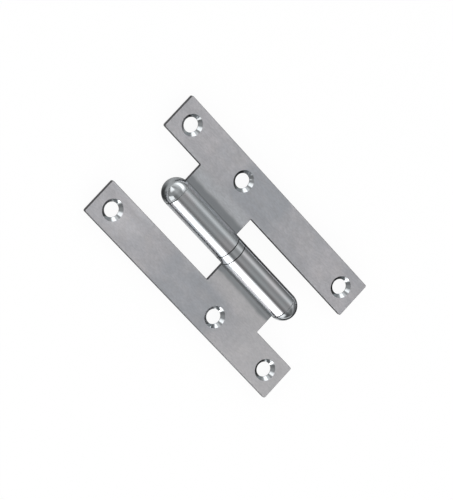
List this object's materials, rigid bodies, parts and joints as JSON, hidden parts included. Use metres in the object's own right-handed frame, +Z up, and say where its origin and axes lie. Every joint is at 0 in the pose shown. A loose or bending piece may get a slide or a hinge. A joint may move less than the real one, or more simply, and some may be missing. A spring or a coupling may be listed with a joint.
{
  "type": "lift-off hinge",
  "caption": "Lift-off hinge of H pattern: two rolled sheet leaves with countersunk holes, a fixed pin, a bearing ring and domed ends.",
  "frame": {"origin": "on the floor plane under the barrel, at the middle of the bearing ring's length", "axes": "+Z up, out of the countersunk faces; +Y along the pin, from the lower knuckle to the upper one; +X towards the upper leaf"},
  "size_m": [0.044, 0.08, 0.0086],
  "materials": {
    "leaf_steel": "stainless sheet, satin brushed along the leaf, with the rolled knuckle polished",
    "polished_steel": "polished stainless"
  },
  "bodies": {
    "lower": {"lower_leaf": "leaf_steel", "hinge_pin": "polished_steel"},
    "ring": {"bearing_ring": "polished_steel"},
    "upper": {"upper_leaf": "leaf_steel", "upper_plug": "polished_steel"}
  },
  "joints": [
    {"name": "leaf_swing", "type": "hinge", "parent": "lower", "child": "ring", "pos_m": [0, 0, 0.00428], "axis": [0, -1, 0], "range_deg": [-160, 183]},
    {"name": "lift_off", "type": "slide", "parent": "ring", "child": "upper", "axis": [0, 1, 0], "range_m": [0, 0.018]}
  ]
}
